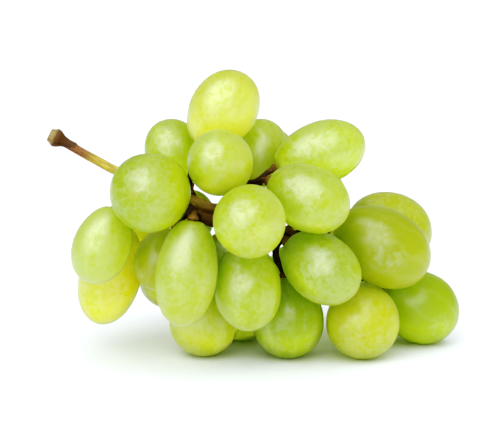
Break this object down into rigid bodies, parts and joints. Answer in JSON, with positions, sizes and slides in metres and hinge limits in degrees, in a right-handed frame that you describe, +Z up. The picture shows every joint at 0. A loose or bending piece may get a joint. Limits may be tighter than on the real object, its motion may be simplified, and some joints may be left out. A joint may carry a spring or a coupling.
{
  "type": "bunch of grapes",
  "caption": "Loose bunch of pale green table grapes lying on its side, egg-shaped to long berries on a branching brown stem with a cut, knobbed stalk end.",
  "frame": {"origin": "on the surface the bunch lies on, below the middle of its bounding box", "axes": "+Z up; +X along the bunch, away from its cut stalk end; +Y towards the back, so the side shown first faces -Y"},
  "size_m": [0.122, 0.0876, 0.0838],
  "materials": {
    "skin_green": "grape skin, mid green, satin under a waxy bloom",
    "skin_lime": "grape skin, pale yellow-green, satin under a waxy bloom",
    "skin_yellow": "grape skin, ripe yellow, satin under a waxy bloom",
    "skin_olive": "grape skin, olive green, satin under a waxy bloom",
    "bark": "dry brown stem bark, matte"
  },
  "bodies": {
    "root": {"grape_01": "skin_yellow", "grape_02": "skin_lime", "grape_03": "skin_lime", "grape_04": "skin_green", "grape_05": "skin_green", "grape_06": "skin_lime", "grape_07": "skin_lime", "grape_08": "skin_lime", "grape_09": "skin_green", "grape_10": "skin_olive", "grape_11": "skin_olive", "grape_12": "skin_green", "grape_13": "skin_yellow", "grape_14": "skin_green", "grape_15": "skin_lime", "grape_16": "skin_lime", "grape_17": "skin_yellow", "grape_18": "skin_olive", "grape_19": "skin_olive", "grape_20": "skin_lime", "grape_21": "skin_yellow", "grape_22": "skin_yellow", "grape_23": "skin_olive", "grape_24": "skin_green", "grape_25": "skin_green", "grape_26": "skin_lime", "grape_27": "skin_green", "grape_28": "skin_lime", "grape_29": "skin_lime", "grape_30": "skin_green", "grape_31": "skin_lime", "grape_32": "skin_green", "grape_33": "skin_yellow", "grape_34": "skin_lime", "grape_35": "skin_olive", "stem": "bark"}
  },
  "joints": []
}
